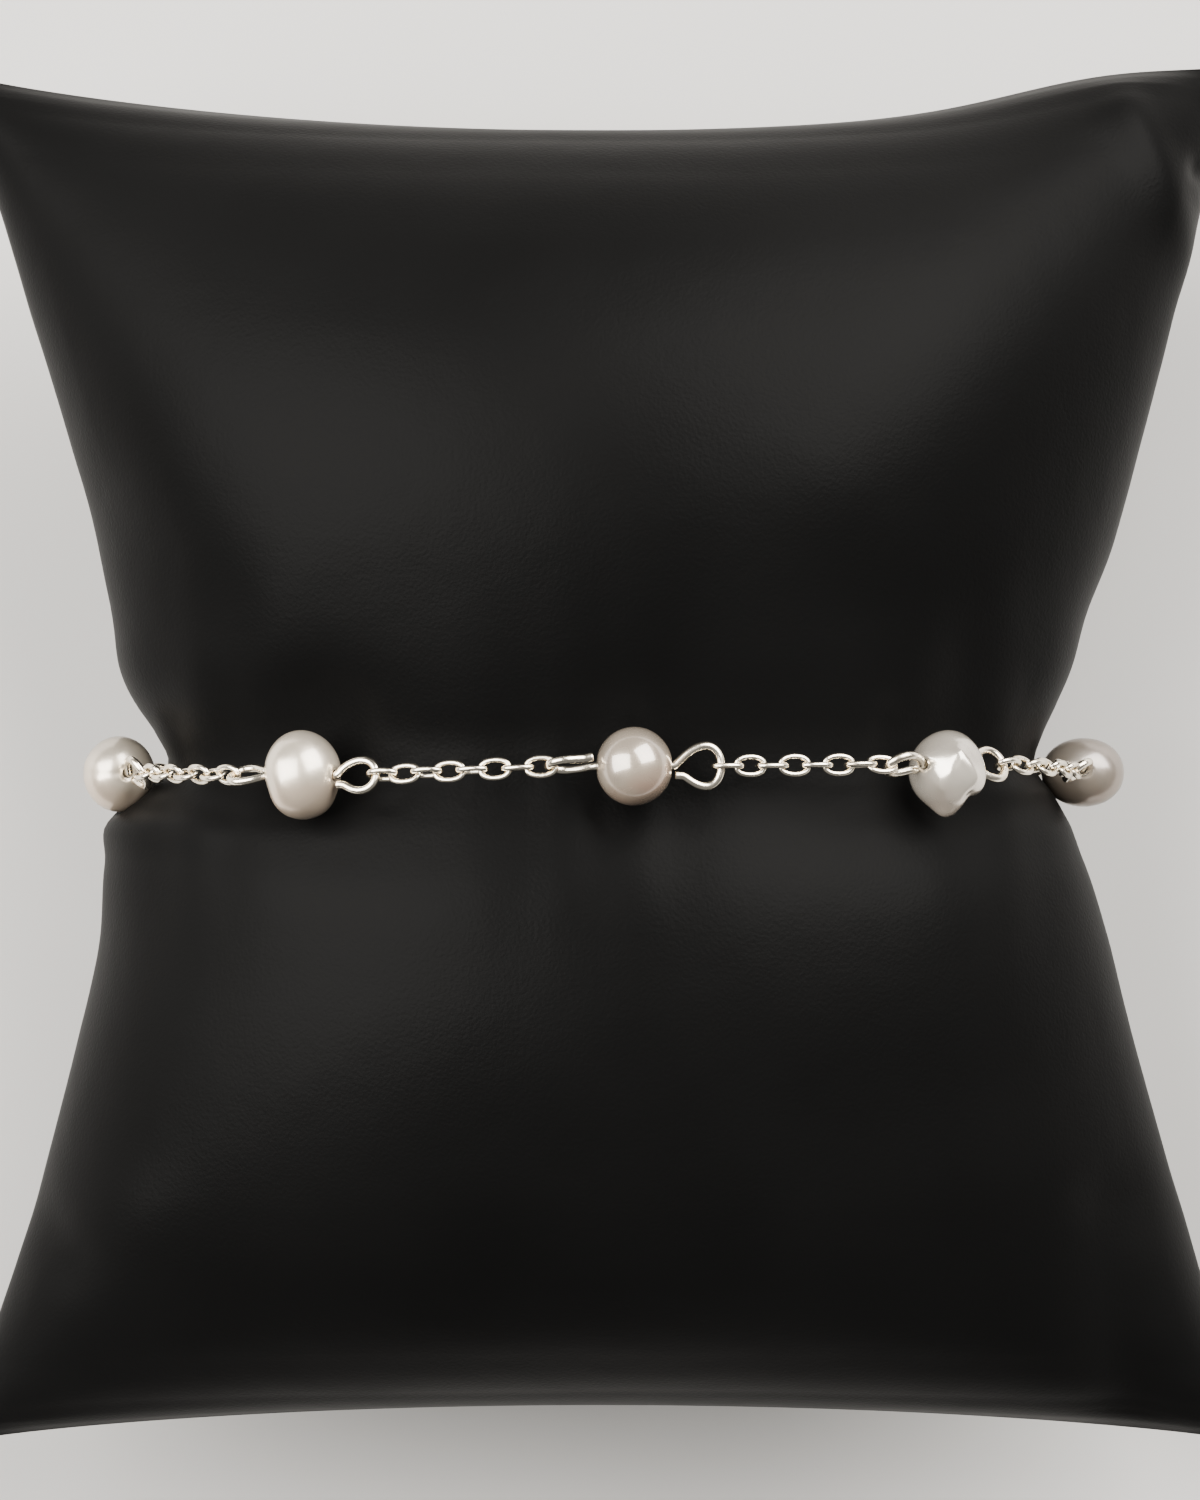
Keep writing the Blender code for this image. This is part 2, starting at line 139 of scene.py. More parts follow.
def colorRamp(material, factor, *stops):
    ramp = addNode(material, "ShaderNodeValToRGB")
    first, last = ramp.color_ramp.elements
    first.position, first.color = stops[0][0], (*stops[0][1], 1)
    last.position, last.color = stops[-1][0], (*stops[-1][1], 1)
    for position, color in stops[1:-1]:
        ramp.color_ramp.elements.new(position).color = (*color, 1)
    join(material, factor, ramp.inputs["Fac"])
    return ramp.outputs["Color"]


def spread(material, factor, low, high):
    # A noise, which is mostly between 0.3 and 0.7, stretched to run from low to high.
    rise = addNode(material, "ShaderNodeMapRange")
    rise.inputs["From Min"].default_value, rise.inputs["From Max"].default_value = 0.3, 0.7
    rise.inputs["To Min"].default_value, rise.inputs["To Max"].default_value = low, high
    join(material, factor, rise.inputs["Value"])
    return rise.outputs["Result"]


def patchy(material, shader, noise, roughness, change):
    # A roughness that a noise takes down and up, by the two amounts in change.
    low, high = roughness + change[0], roughness + change[1]
    join(material, spread(material, noise.outputs["Fac"], low, high), shader.inputs["Roughness"])


def bump(material, shader, height, distance, under=None):
    node = addNode(material, "ShaderNodeBump", Distance=distance)
    join(material, height, node.inputs["Height"])
    if under:
        join(material, under.outputs["Normal"], node.inputs["Normal"])
    join(material, node.outputs["Normal"], shader.inputs["Normal"])
    return node


nacre = {
    # the heights between which the rose grows, and how far it moves the clouds either way
    "roseHeights": (2.6 * mm, -2.8 * mm), "roseShift": 0.22,
    "colorStops": (0.26, 0.48, 0.72), "cloudTwist": 0.4, "growthTwist": 0.8, "patchy": (-0.04, 0.05),
    "index": 1.55, "skinIndex": 1.8, "filmThickness": 330.0, "filmIndex": 1.42,
}


def nacreMaterial(name, look):
    # Nacre: cream with grey and rose clouds, more rose below, a broad soft gleam from its layers
    # and a clear skin over them.
    made, shader = newMaterial(name, look["cream"], look["roughness"], look["gleam"])
    place = addNode(made, "ShaderNodeTexCoord")
    parts = addNode(made, "ShaderNodeSeparateXYZ")
    join(made, place.outputs["Object"], parts.inputs["Vector"])
    low = addNode(made, "ShaderNodeMapRange")
    low.inputs["From Min"].default_value, low.inputs["From Max"].default_value = nacre["roseHeights"]
    low.inputs["To Min"].default_value = -nacre["roseShift"]
    low.inputs["To Max"].default_value = nacre["roseShift"]
    join(made, parts.outputs["Y"], low.inputs["Value"])
    clouds = noiseOn(made, look["cloudScale"], 2.0, 0.5, nacre["cloudTwist"])
    total = addNode(made, "ShaderNodeMath", operation="ADD")
    join(made, clouds.outputs["Fac"], total.inputs[0])
    join(made, low.outputs["Result"], total.inputs[1])
    stops = zip(nacre["colorStops"], (look["shade"], look["cream"], look["rose"]))
    join(made, colorRamp(made, total.outputs["Value"], *stops), shader.inputs["Base Color"])
    growth = noiseOn(made, look["growthScale"], 2.0, 0.6, nacre["growthTwist"])
    patchy(made, shader, growth, look["roughness"], nacre["patchy"])
    bump(made, shader, growth.outputs["Fac"], look["growthDepth"])
    shader.inputs["IOR"].default_value = nacre["index"]
    shader.inputs["Coat Weight"].default_value = look["skin"]
    shader.inputs["Coat Roughness"].default_value = look["skinRoughness"]
    shader.inputs["Coat IOR"].default_value = nacre["skinIndex"]
    shader.inputs["Thin Film Thickness"].default_value = nacre["filmThickness"]
    shader.inputs["Thin Film IOR"].default_value = nacre["filmIndex"]
    return made


def silverMaterial(name, look):
    # Polished silver: fine cloudy wear in the polish, a little tarnish, and drawn-wire unevenness.
    made, shader = newMaterial(name, look["bright"], look["roughness"], 1.0)
    wear = noiseOn(made, look["wearScale"], 4.0, 0.6)
    stops = zip(look["colorStops"], (look["tarnish"], look["bright"], look["bright"]))
    join(made, colorRamp(made, wear.outputs["Fac"], *stops), shader.inputs["Base Color"])
    patchy(made, shader, wear, look["roughness"], look["patchy"])
    dents = noiseOn(made, look["dentScale"], 2.0, 0.5)
    bump(made, shader, dents.outputs["Fac"], look["dentDepth"])
    return made


def coverMaterial(name, look):
    # Black leatherette: a very fine grain, faint cloudy sheen, and a satin surface.
    made, shader = newMaterial(name, look["black"], look["roughness"])
    clouds = noiseOn(made, look["cloudScale"], 2.0, 0.5)
    stops = zip(look["colorStops"], (look["black"], look["grey"]))
    join(made, colorRamp(made, clouds.outputs["Fac"], *stops), shader.inputs["Base Color"])
    patchy(made, shader, clouds, look["roughness"], look["patchy"])
    grain = noiseOn(made, look["grainScale"], 1.0, 0.5)
    fine = bump(made, shader, grain.outputs["Fac"], look["grainDepth"])
    waves = noiseOn(made, look["waveScale"], 1.0, 0.5)
    bump(made, shader, waves.outputs["Fac"], look["waveDepth"], fine)
    shader.inputs["IOR"].default_value = look["ior"]
    shader.inputs["Specular IOR Level"].default_value = look["specular"]
    return made


# The route of the bracelet: an ellipse round the waist, measured by length from the middle of the
# front towards +X, with its own half axis in front and behind.

route = {
    "halfWidth": 37.292 * mm,
    "front": 26.993 * mm,
    "back": 21.6 * mm,
    "seamHeight": 23.5 * mm,
    "strayReach": 10.0 * mm,  # from a chain's end to where it follows the route
    "steps": 2881,
}

pearlSize = 5.7 * mm
pearls = {
    # place is a share of the route; rise, size (along the wire, along Y, outwards) and drop are
    # shares of pearlSize; turn is in degrees, in towards the pillow; a lump is a direction (along,
    # up, out), its height as a share of the radius, and its half angle in degrees. A ridge runs from
    # one direction to another and has a height and half breadth likewise. Below nought they are a
    # dent and a crease.
    "pearl_1": {
        "place": -0.240, "rise": -0.05, "turn": 9, "size": (0.98, 1.02, 0.96), "drop": 0.02,
        "finish": "satin",
        "lumps": [
            ((0.9, -0.5, 0.2), -0.060, 34), ((1.0, 0.1, 0.0), -0.070, 24), ((-0.2, 0.1, 1.0), 0.015, 30),
        ],
        "ridges": [
            ((1.0, 0.0, 0.3), (-0.2, 0.04, 1.0), -0.020, 6),
            ((0.78, -0.62, -0.36), (0.02, -0.62, -0.81), -0.075, 24),
        ],
    },
    "pearl_2": {
        "place": -0.116, "rise": -0.07, "turn": 2, "size": (0.98, 1.14, 1.05), "drop": 0.00,
        "finish": "satin",
        "lumps": [
            ((-0.4, 0.7, 0.3), 0.035, 42), ((0.9, 0.2, 0.1), 0.030, 30), ((-0.8, -0.5, 0.2), -0.055, 38),
            ((0.9, -0.6, 0.2), -0.040, 34), ((0.49, -0.75, -0.35), 0.030, 30),
            ((-0.49, -0.75, 0.35), 0.035, 30),
        ],
        "ridges": [
            ((-0.1, 0.9, 0.5), (0.3, -0.3, 0.9), -0.012, 12),
            ((-0.5, 0.2, 0.8), (-0.3, -0.6, 0.7), 0.016, 14),
            ((-0.52, -0.32, 0.86), (-0.98, -0.32, 0.22), -0.030, 17),
            ((0.98, -0.36, -0.22), (0.52, -0.36, -0.86), -0.035, 17),
        ],
    },
    "pearl_3": {
        "place": 0.0123, "rise": 0.05, "turn": 0, "size": (0.98, 1.00, 1.00), "drop": 0.00,
        "finish": "glossy",
        "lumps": [((-0.2, -0.9, -0.3), 0.012, 44)],
    },
    "pearl_4": {
        "place": 0.1375, "rise": 0.07, "turn": 6, "size": (0.86, 1.02, 1.12), "drop": 0.09,
        "finish": "silvery",
        "lumps": [
            ((-0.05, -1.0, 0.0), 0.175, 18), ((0.51, -0.78, 0.35), -0.050, 20),
            ((0.77, -0.33, 0.54), 0.070, 28), ((-0.75, -0.60, 0.2), -0.050, 30),
            ((0.1, 0.95, 0.2), 0.055, 36), ((-0.30, -0.52, 0.80), -0.035, 16),
            ((-0.10, 0.05, 1.0), -0.085, 38),
        ],
        "ridges": [
            ((-0.42, 0.45, 0.78), (-0.78, -0.40, 0.46), 0.030, 11),
            ((-0.42, 0.45, 0.78), (0.05, -0.15, 0.98), 0.045, 12),
            ((0.14, -0.70, 0.76), (0.74, -0.70, -0.10), -0.105, 14),
        ],
    },
    "pearl_5": {
        "place": 0.2615, "rise": -0.02, "turn": -4, "size": (0.98, 0.93, 1.12), "drop": 0.03,
        # its finish is the darker copy of the satin, which is painted shade for this pearl at the side
        "finish": "satin_painted_shade",
        "lumps": [
            ((1.0, 0.0, 0.0), -0.050, 30), ((-1.0, 0.0, 0.1), -0.050, 30), ((0.1, 0.7, 0.7), 0.030, 30),
            ((0.1, -0.7, 0.7), 0.025, 30),
        ],
    },
}

angles = np.linspace(0, 2 * math.pi, route["steps"])
routeDepth = np.where(np.cos(angles) >= 0, route["front"], route["back"])
routeAcross = route["halfWidth"] * np.sin(angles)
routeHeight = route["seamHeight"] + routeDepth * np.cos(angles)
routeLengths = np.concatenate([[0], np.cumsum(np.hypot(np.diff(routeAcross), np.diff(routeHeight)))])
routeLength = routeLengths[-1]
routeRise = np.interp(
    routeLengths,
    [pearl["place"] * routeLength for pearl in pearls.values()],
    [pearl["rise"] * pearlSize for pearl in pearls.values()],
    period=routeLength,
)


def routePoint(places):
    places = np.asarray(places) % routeLength
    lines = routeAcross, routeRise, routeHeight
    return np.stack([np.interp(places, routeLengths, line) for line in lines], -1)


def turnedIn(directions, degrees):
    ahead, up, out = directions
    turn = math.radians(degrees)
    return math.cos(turn) * ahead - math.sin(turn) * out, up, math.cos(turn) * out + math.sin(turn) * ahead


def routeDirections(place, turn=0.0):
    ahead = routePoint(place + 0.1 * mm) - routePoint(place - 0.1 * mm)
    ahead = unit(ahead * (1, 0, 1))
    return turnedIn((ahead, upward, np.cross(ahead, upward)), turn)


print("route:", round(routeLength / mm, 1), "mm round")


# Pearls

pearlFinish = {
    "satin": {
        "cream": (0.66, 0.585, 0.475), "rose": (0.63, 0.515, 0.40), "shade": (0.48, 0.43, 0.355),
        "roughness": 0.32, "gleam": 0.67, "skin": 0.62, "skinRoughness": 0.13,
        "cloudScale": 190.0, "growthScale": 800.0, "growthDepth": 0.010 * mm,
    },
    "glossy": {
        "cream": (0.41, 0.345, 0.27), "rose": (0.39, 0.265, 0.195), "shade": (0.30, 0.255, 0.205),
        "roughness": 0.27, "gleam": 0.58, "skin": 1.0, "skinRoughness": 0.05,
        "cloudScale": 150.0, "growthScale": 500.0, "growthDepth": 0.003 * mm,
    },
    "silvery": {
        "cream": (0.69, 0.64, 0.55), "rose": (0.66, 0.57, 0.475), "shade": (0.48, 0.44, 0.38),
        "roughness": 0.23, "gleam": 0.68, "skin": 1.0, "skinRoughness": 0.06,
        "cloudScale": 150.0, "growthScale": 500.0, "growthDepth": 0.004 * mm,
    },
    # A darker copy of the satin finish, for pearl_5 at the side: its darkness is painted shade, because
    # little light reaches that pearl.
    "satin_painted_shade": {
        "cream": (0.27, 0.23, 0.185), "rose": (0.255, 0.20, 0.15), "shade": (0.20, 0.175, 0.145),
        "roughness": 0.33, "gleam": 0.60, "skin": 0.55, "skinRoughness": 0.15,
        "cloudScale": 190.0, "growthScale": 800.0, "growthDepth": 0.010 * mm,
    },
}
pearlShape = {
    "rows": 110, "columns": 120, "boreRadius": 0.41 * mm, "boreRows": (0.02, 0.5, 0.98),
    "waviness": 0.006, "waves": 2.6,
    # how far from the rim, in radians, the lumps fade and the surface dips in to the hole
    "lumpReach": 0.30, "mouthReach": 0.07, "mouthDip": 0.05,
}
pearlMaterials = {name: nacreMaterial("nacre_" + name, look) for name, look in pearlFinish.items()}


def pearlSurface(pearl, seed):
    # An ellipsoid in the angle from the wire (rows) and the angle round it (columns), times one
    # plus a bell-shaped swelling for each lump and a faint ripple. The rows end at the drill
    # hole's rims, and three more go back through the hole.
    place = pearl["place"] * routeLength
    ahead, up, out = routeDirections(place, pearl["turn"])
    half = pearlSize * np.array(pearl["size"]) / 2
    bore = pearlShape["boreRadius"]
    rim = math.asin(2 * bore / (half[1] + half[2]))
    polar = np.linspace(rim, math.pi - rim, pearlShape["rows"])[:, None]
    around = np.linspace(0, 2 * math.pi, pearlShape["columns"], endpoint=False)[None, :]
    cosine = np.cos(polar) + 0 * around
    facing = np.stack([cosine, np.sin(polar) * np.cos(around), np.sin(polar) * np.sin(around)], -1)
    factor = 1 + pearlShape["waviness"] * ripple(facing, pearlShape["waves"], seed)
    for towards, height, width in pearl["lumps"]:
        angle = np.degrees(np.arccos(np.clip(facing @ unit(np.array(towards)), -1, 1)))
        factor += height * np.exp(-((angle / width) ** 2))
    for start, end, height, width in pearl.get("ridges", []):
        start, end = unit(np.array(start)), unit(np.array(end))
        share = np.clip((facing - start) @ (end - start) / ((end - start) @ (end - start)), 0, 1)
        nearest = unit(start + share[..., None] * (end - start))
        angle = np.degrees(np.arccos(np.clip((facing * nearest).sum(-1), -1, 1)))
        factor += height * np.exp(-((angle / width) ** 2))
    local = facing * half * factor[..., None]
    fromRim = np.minimum(polar - rim, math.pi - rim - polar)
    hold = 1 - np.exp(-((fromRim / pearlShape["lumpReach"]) ** 2))
    local[..., 0] *= 1 - pearlShape["mouthDip"] * np.exp(-((fromRim / pearlShape["mouthReach"]) ** 2))
    ringPoint = bore * np.stack([np.cos(around), np.sin(around)], -1) + 0 * polar[..., None]
    plain = facing[..., 1:] * half[1:]
    swelling = local[..., 1:] - plain
    local[..., 1:] = plain + swelling * hold[..., None]
    local[..., 1] -= pearl["drop"] * pearlSize * hold
    local[[0, -1], :, 1:] = ringPoint[[0, -1]]
    shares = np.array(pearlShape["boreRows"])[:, None, None]
    inside = local[-1] * (1 - shares) + local[0] * shares
    local = np.vstack([local, inside])
    centre = routePoint(place)
    return centre + local @ np.stack([ahead, up, out])


for number, (name, pearl) in enumerate(pearls.items(), 1):
    made = surfaceObject(name + "_nacre", pearlSurface(pearl, number), wrapRows=True, sharp=60)
    made.data.materials.append(pearlMaterials[pearl["finish"]])
    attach(made, "root")
    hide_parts(name)
print("pearls:", len(pearls))


# Eye pins

silverLook = {
    "bright": (0.99, 0.905, 0.755), "tarnish": (0.66, 0.57, 0.45), "roughness": 0.21,
    "colorStops": (0.28, 0.45, 0.80), "patchy": (0.08, -0.05),
    "wearScale": 700.0, "dentScale": 1300.0, "dentDepth": 0.020 * mm,
}
silver = silverMaterial("polished_silver", silverLook)

pin = {
    "wire": 0.62 * mm, "length": 3.4 * mm, "width": 3.0 * mm, "mouthGap": 0.15 * mm,
    # where the loop's wire is cut: beside the shaft, and past the mouth
    "cutAside": 0.70 * mm, "cutReach": -0.08 * mm,
    "endRadii": (0.80, 0.97, 1.0), "sides": 18, "steps": 84, "tailSteps": 10, "shaftSteps": 60, "bend": 6,
}
loops = {
    # (length, width) as shares of the pin's, roll in degrees, lean in towards the pillow, point,
    # and how far the cut end is bent up
    "pearl_1": {-1: (1.00, 0.97, 120, 16, 0.7), 1: (0.97, 1.00, 32, 5, 0.7)},
    "pearl_2": {-1: (1.00, 0.97, 115, 5, 0.8), 1: (1.00, 0.97, -15, 3, 0.5)},
    "pearl_3": {-1: (1.06, 1.00, -105, 3, 0.9, 0.52 * mm), 1: (1.09, 1.20, 0, 3, 1.0)},
    "pearl_4": {-1: (1.03, 0.97, 55, 0, 0.6), 1: (1.06, 1.03, -30, 2, 0.6)},
    "pearl_5": {-1: (0.91, 0.93, 53, 20, 0.7), 1: (1.00, 0.97, -37, 16, 0.7)},
}


def loopFrame(name, side):
    pearl, loop = pearls[name], loops[name][side]
    place = pearl["place"] * routeLength
    ahead, up, out = routeDirections(place, pearl["turn"])
    mouth = routePoint(place) + side * ahead * (pearl["size"][0] * pearlSize / 2 + pin["mouthGap"])
    return mouth, turnedIn((side * ahead, up, out), loop[3])


def asideOf(directions, roll):
    return math.cos(math.radians(roll)) * directions[1] + math.sin(math.radians(roll)) * directions[2]


def loopReach(name, side):
    return loops[name][side][0] * pin["length"] - pin["wire"] / 2


def loopCurve(name, side):
    # Round a teardrop: the reach is half of one minus the cosine, and the swing is the sine times
    # a power of the half angle's sine. Beside the shaft it runs straight in, to where it was cut.
    length, width, roll, lean, point, *bend = loops[name][side]
    turns = np.linspace(0.25, 2 * math.pi, 720)  # from a little out of the mouth, all the way round
    swing = np.sin(turns) * np.sin(turns / 2) ** point
    swing *= (width * pin["width"] - pin["wire"]) / 2 / swing.max()
    reach = loopReach(name, side) * (1 - np.cos(turns)) / 2
    last = np.where((turns > 1.5 * math.pi) & (swing <= -pin["cutAside"]))[0][-1]
    picked = np.linspace(0, last, pin["steps"]).round().astype(int)
    tail = np.linspace(1, 0, pin["tailSteps"] + 1)[1:]
    cutAt = pin["cutReach"] + pin["cutAside"] * abs(math.sin(math.radians(lean)))
    inset = cutAt + (reach[last] - cutAt) * tail
    reaches = np.concatenate([reach[picked], inset])
    swings = np.concatenate([swing[picked], np.full(len(inset), -pin["cutAside"])])
    mouth, directions = loopFrame(name, side)
    aside = asideOf(directions, roll)
    points = mouth + reaches[:, None] * directions[0] + swings[:, None] * aside
    lift = sum(bend) * np.clip(np.linspace(-1.2, 1, len(points)), 0, 1) ** 1.5
    points = points + lift[:, None] * upward
    return points, np.cross(directions[0], aside)


def wireSurface(points, across, radius, sides, closedWire=False):
    # Circles carried along a line of points, square to it. across is a direction off the line at
    # each point, from which the circle's angle is counted. The ends are cut flat and rounded off.
    steps = np.roll(points, -1, 0) - np.roll(points, 1, 0) if closedWire else np.gradient(points, axis=0)
    ahead = unit(steps)
    inward = unit(np.cross(across, ahead))
    other = np.cross(ahead, inward)
    radii = np.full(len(points), radius)
    if not closedWire:
        edge = np.minimum(np.arange(len(points)), np.arange(len(points))[::-1])
        radii *= np.array(pin["endRadii"])[np.minimum(edge, 2)]
    turn = np.linspace(0, 2 * math.pi, sides, endpoint=False)[None, :, None]
    offsets = np.cos(turn) * inward[:, None] + np.sin(turn) * other[:, None]
    return points[:, None] + radii[:, None, None] * offsets


def pinSurface(name):
    # The wire's line: one loop from its cut end, the straight shaft, and the other loop, all
    # smoothed a little so that the wire leaves the hole in a bend.
    before, beforeAcross = loopCurve(name, -1)
    after, afterAcross = loopCurve(name, 1)
    if beforeAcross @ afterAcross < 0:
        afterAcross = -afterAcross
    mouths = loopFrame(name, -1)[0], loopFrame(name, 1)[0]
    share = np.linspace(0, 1, pin["shaftSteps"])[:, None]
    shaft = mouths[0] * (1 - share) + mouths[1] * share
    points = np.vstack([before[::-1], shaft, after])
    points = smoothedLine(points, pin["bend"])
    acrossBefore = np.repeat(beforeAcross[None], len(before), 0)
    acrossShaft = beforeAcross * (1 - share) + afterAcross * share
    acrossAfter = np.repeat(afterAcross[None], len(after), 0)
    across = np.vstack([acrossBefore, acrossShaft, acrossAfter])
    return wireSurface(points, across, pin["wire"] / 2, pin["sides"])


for number, name in enumerate(pearls, 1):
    made = surfaceObject(f"pin_{number}_wire", pinSurface(name), ends="polygons", sharp=40)
    made.data.materials.append(silver)
    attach(made, "root")
    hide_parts(f"pin_{number}")
print("pins:", len(pearls))


# Clasp, behind the pillow

clasp = {
    "place": routeLength / 2, "length": 6.6 * mm, "width": 3.0 * mm, "thickness": 1.8 * mm,
    "eye": 2.6 * mm, "eyeSink": 0.6 * mm, "squareness": 0.85, "rows": 60, "columns": 64, "sides": 16,
}
claspEyePlace = clasp["length"] / 2 + clasp["eye"] / 2 - clasp["eyeSink"]
claspEyeRadius = (clasp["eye"] - pin["wire"]) / 2


def squared(wave, power):
    # A wave with its sign kept and its size raised to a power: below one it makes an oval squarer.
    return np.sign(wave) * np.abs(wave) ** power


def claspParts():
    # The body is an ellipsoid with slightly squared sections. Each eye is a ring of the pin's wire
    # whose end is sunk in the body.
    ahead, up, out = routeDirections(clasp["place"])
    centre = routePoint(clasp["place"])
    polar = np.linspace(0.02, math.pi - 0.02, clasp["rows"])[:, None]
    around = np.linspace(0, 2 * math.pi, clasp["columns"], endpoint=False)
    along = -np.cos(polar) * clasp["length"] / 2 + 0 * around
    wide = np.sin(polar) * squared(np.cos(around), clasp["squareness"]) * clasp["width"] / 2
    thick = np.sin(polar) * squared(np.sin(around), clasp["squareness"]) * clasp["thickness"] / 2
    body = centre + along[..., None] * ahead + wide[..., None] * up + thick[..., None] * out
    turn = around[:, None]
    eyes = []
    for side in (-1, 1):
        middle = centre + side * claspEyePlace * ahead
        ring = middle + claspEyeRadius * (np.cos(turn) * ahead + np.sin(turn) * up)
        across = np.repeat(out[None], clasp["columns"], 0)
        eyes.append(wireSurface(ring, across, pin["wire"] / 2, clasp["sides"], closedWire=True))
    return body, np.array(eyes)


body, eyes = claspParts()
claspObject = surfaceObject("clasp_body", body, ends="polygons")
eyesObject = surfaceObject("clasp_eyes", eyes, wrapRows=True)
union = claspObject.modifiers.new("eyes", "BOOLEAN")
union.operation = "UNION"
union.object = eyesObject
depsgraph = bpy.context.evaluated_depsgraph_get()
joined = bpy.data.meshes.new_from_object(claspObject.evaluated_get(depsgraph))
bpy.data.objects.remove(claspObject)
bpy.data.objects.remove(eyesObject)
made = finishedObject("clasp_silver", joined, 40)
made.data.materials.clear()
made.data.materials.append(silver)
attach(made, "root")
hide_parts("clasp")
print("clasp done")


# Chain

link = {
    "wire": 0.41 * mm, "width": 1.72 * mm, "pitch": 1.635 * mm, "squareness": 0.72, "hookGap": 0.02 * mm,
    "steps": 44, "sides": 12, "wobble": 3.0, "lineSteps": 321,
}
chains = {
    # rolls are the links' turns in degrees where the photograph shows them, or the first and last
    "chain_1": {"start": ("pearl_1", 1), "end": ("pearl_2", -1), "rolls": (122, 25)},
    "chain_2": {"start": ("pearl_2", 1), "end": ("pearl_3", -1), "rolls": (62, -27, 66, -14, 78, -4, 89, -5)},
    "chain_3": {"start": ("pearl_3", 1), "end": ("pearl_4", -1), "rolls": (90, 2, 88, -3, 90, 2, 84, -35)},
    "chain_4": {"start": ("pearl_4", 1), "end": ("pearl_5", -1), "rolls": (57, -37)},
    "chain_5": {"start": ("pearl_5", 1), "end": ("clasp", -1), "rolls": (53, 90)},
    "chain_6": {"start": ("clasp", 1), "end": ("pearl_1", -1), "rolls": (90, 30)},
}


def chainTip(name, side):
    # The far end of a loop or of the clasp's eye: its place on the route, its point and direction.
    if name == "clasp":
        reach = side * (claspEyePlace + claspEyeRadius)
        ahead = routeDirections(clasp["place"])[0]
        return clasp["place"] + reach, routePoint(clasp["place"]) + reach * ahead, ahead
    mouth, directions = loopFrame(name, side)
    reach = loopReach(name, side)
    along = pearls[name]["size"][0] * pearlSize / 2 + pin["mouthGap"] + reach
    place = pearls[name]["place"] * routeLength + side * along
    return place, mouth + reach * directions[0], side * directions[0]


def chainLine(chain):
    # The route between the two tips, led over to each tip's real point within a short reach.
    start, end = chainTip(*chain["start"]), chainTip(*chain["end"])
    endPlace = end[0] + routeLength * (end[0] < start[0])
    places = np.linspace(start[0], endPlace, link["lineSteps"])
    points = routePoint(places)
    for tip, travel in ((start, places - start[0]), (end, endPlace - places)):
        fade = np.clip(1 - travel / route["strayReach"], 0, 1) ** 2
        points = points + fade[:, None] * (tip[1] - routePoint(tip[0]))
    inside = (pin["wire"] + link["wire"]) / 2 + link["hookGap"]
    return np.vstack([start[1] - start[2] * inside, points, end[1] + end[2] * inside])


def chainSurface(chain, seed):
    # Ovals of wire, all at once: each runs from inside the one before to inside the one after, and
    # is turned by about a quarter from it. The oval's side swing is a power of the sine.
    points = chainLine(chain)
    lengths = np.concatenate([[0], np.cumsum(np.linalg.norm(np.diff(points, axis=0), axis=1))])
    count = max(2, round((lengths[-1] - link["wire"]) / link["pitch"]))
    pitch = (lengths[-1] - link["wire"]) / count
    number = np.arange(count)
    pointAt = lambda place: np.stack([np.interp(place, lengths, points[:, k]) for k in range(3)], -1)
    starts, ends = pointAt(number * pitch), pointAt((number + 1) * pitch + link["wire"])
    rolls = np.array(chain["rolls"], float)
    if len(rolls) != count:
        spare = (rolls[-1] - rolls[0] - 90 * (count - 1) + 90) % 180 - 90
        rolls = rolls[0] + 90 * number + spare * number / (count - 1)
    rolls = np.radians(rolls + np.random.default_rng(seed).uniform(-1, 1, count) * link["wobble"])[:, None]
    axis = unit(ends - starts)
    outs = unit(np.cross(axis, upward))
    ups = np.cross(outs, axis)
    aside = np.cos(rolls) * ups + np.sin(rolls) * outs
    normal = np.cross(axis, aside)
    turn = np.linspace(0, 2 * math.pi, link["steps"], endpoint=False)[None, :, None]
    halfLength = np.linalg.norm(ends - starts, axis=1)[:, None, None] / 2
    swing = squared(np.sin(turn), link["squareness"]) * (link["width"] - link["wire"]) / 2
    middle = ((starts + ends) / 2)[:, None]
    line = middle + halfLength * np.cos(turn) * axis[:, None] + swing * aside[:, None]
    ahead = unit(np.roll(line, -1, 1) - np.roll(line, 1, 1))
    inward = np.cross(normal[:, None], ahead)
    around = np.linspace(0, 2 * math.pi, link["sides"], endpoint=False)[None, None, :, None]
    ring = np.cos(around) * inward[:, :, None] + np.sin(around) * normal[:, None, None]
    return line[:, :, None] + link["wire"] / 2 * ring


for number, (name, chain) in enumerate(chains.items(), 1):
    made = surfaceObject(name + "_links", chainSurface(chain, number), wrapRows=True)
    made.data.materials.append(silver)
    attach(made, "root")
    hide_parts(name)
print("chains:", len(chains))


# Pillow

